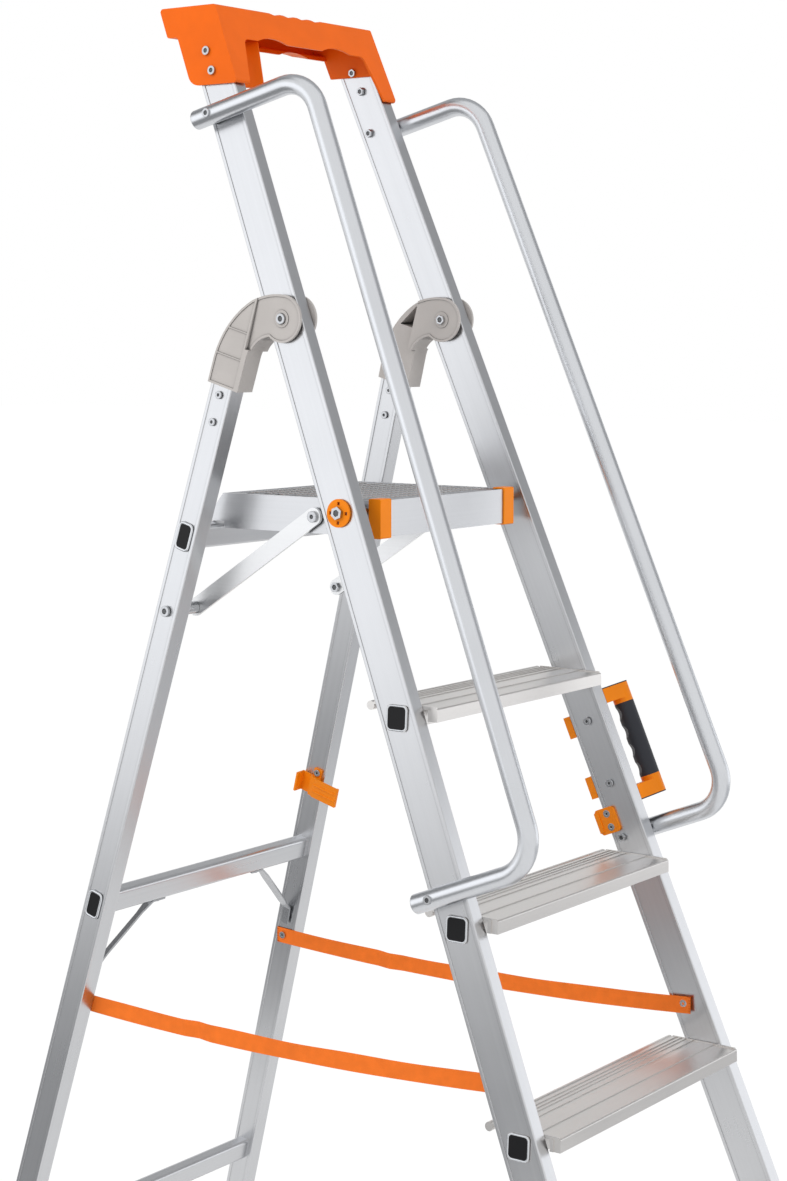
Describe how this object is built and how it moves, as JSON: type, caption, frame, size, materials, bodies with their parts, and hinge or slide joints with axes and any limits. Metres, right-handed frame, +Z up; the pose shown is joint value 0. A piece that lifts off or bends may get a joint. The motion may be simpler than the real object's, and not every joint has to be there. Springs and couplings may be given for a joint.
{
  "type": "folding platform step ladder",
  "caption": "Folding aluminium platform step ladder with bent-tube handrails beside the treads, a moulded head, a tip-up platform and a hinged rear frame.",
  "frame": {"origin": "on the floor, in the middle of the open ladder's footprint", "axes": "+Z up, +Y the way a climber faces, towards the rear frame, +X to the climber's right"},
  "size_m": [0.5324, 1.0746, 1.777],
  "materials": {
    "aluminium": "satin extruded",
    "bright_tube": "bright drawn tube",
    "zinc": "zinc plated",
    "orange_plastic": "satin moulded",
    "grey_plastic": "satin moulded",
    "black_rubber": "soft matt",
    "black_plastic": "matt moulded",
    "webbing": "woven strap"
  },
  "bodies": {
    "front_frame": {"catch_plate": "orange_plastic", "catch_rivets": "zinc", "front_shoe_left": "black_rubber", "front_shoe_right": "black_rubber", "front_stile_left": "aluminium", "front_stile_right": "aluminium", "handle_core": "zinc", "handle_foot_lower": "orange_plastic", "handle_foot_upper": "orange_plastic", "handle_grip": "black_rubber", "handle_screws": "zinc", "handrail_bolts": "zinc", "handrail_caps": "black_plastic", "handrail_left": "bright_tube", "handrail_right": "bright_tube", "handrail_saddles": "black_plastic", "head": "orange_plastic", "head_bolts": "zinc", "hinge_bushes": "black_plastic", "pivot_bolts": "zinc", "pivot_discs": "orange_plastic", "pivot_spacers": "zinc", "strap_left": "webbing", "strap_right": "webbing", "strap_rivets_front": "zinc", "tread_1": "aluminium", "tread_2": "aluminium", "tread_3": "aluminium", "tread_4": "aluminium", "tread_plugs": "black_plastic"},
    "rear_frame": {"bar_plugs": "black_plastic", "bar_strip_left": "zinc", "bar_strip_right": "zinc", "brace_bolts": "zinc", "brace_spacers": "zinc", "fork_hinge_left": "grey_plastic", "fork_hinge_right": "grey_plastic", "fork_rivets": "zinc", "hinge_bolts": "zinc", "latch_clip": "orange_plastic", "latch_screw": "zinc", "rear_bar_1": "aluminium", "rear_bar_2": "aluminium", "rear_bar_3": "aluminium", "rear_leg_left": "aluminium", "rear_leg_right": "aluminium", "rear_shoe_left": "black_rubber", "rear_shoe_right": "black_rubber", "strap_rivets_rear": "zinc", "strip_rivets": "zinc"},
    "platform": {"brace_studs": "zinc", "platform_cap_left": "orange_plastic", "platform_cap_right": "orange_plastic", "platform_deck": "aluminium", "platform_rail_left": "aluminium", "platform_rail_right": "aluminium"},
    "brace_left": {"brace_left": "zinc", "brace_rivet_left": "zinc"},
    "brace_right": {"brace_right": "zinc", "brace_rivet_right": "zinc"}
  },
  "joints": [
    {"name": "rear_fold", "type": "hinge", "parent": "front_frame", "child": "rear_frame", "pos_m": [0, 0.05481, 1.39213], "axis": [-1, 0, 0], "range_deg": [0, 37.75], "deforming": ["strap_left", "strap_right"]},
    {"name": "platform_fold", "type": "hinge", "parent": "front_frame", "child": "platform", "pos_m": [0, -0.03763, 1.162], "axis": [1, 0, 0], "range_deg": [0, 68]},
    {"name": "brace_fold_left", "type": "hinge", "parent": "rear_frame", "child": "brace_left", "pos_m": [0, 0.2262, 1.02756], "axis": [-1, 0, 0], "range_deg": [0, 27.19]},
    {"name": "brace_fold_right", "type": "hinge", "parent": "rear_frame", "child": "brace_right", "pos_m": [0, 0.2262, 1.02756], "axis": [-1, 0, 0], "range_deg": [0, 27.19]}
  ],
  "couplings": [
    {"joint": "platform_fold", "follows": "rear_fold", "ratio": 1.8013},
    {"joint": "brace_fold_left", "follows": "rear_fold", "ratio": 0.72026},
    {"joint": "brace_fold_right", "follows": "rear_fold", "ratio": 0.72026}
  ]
}
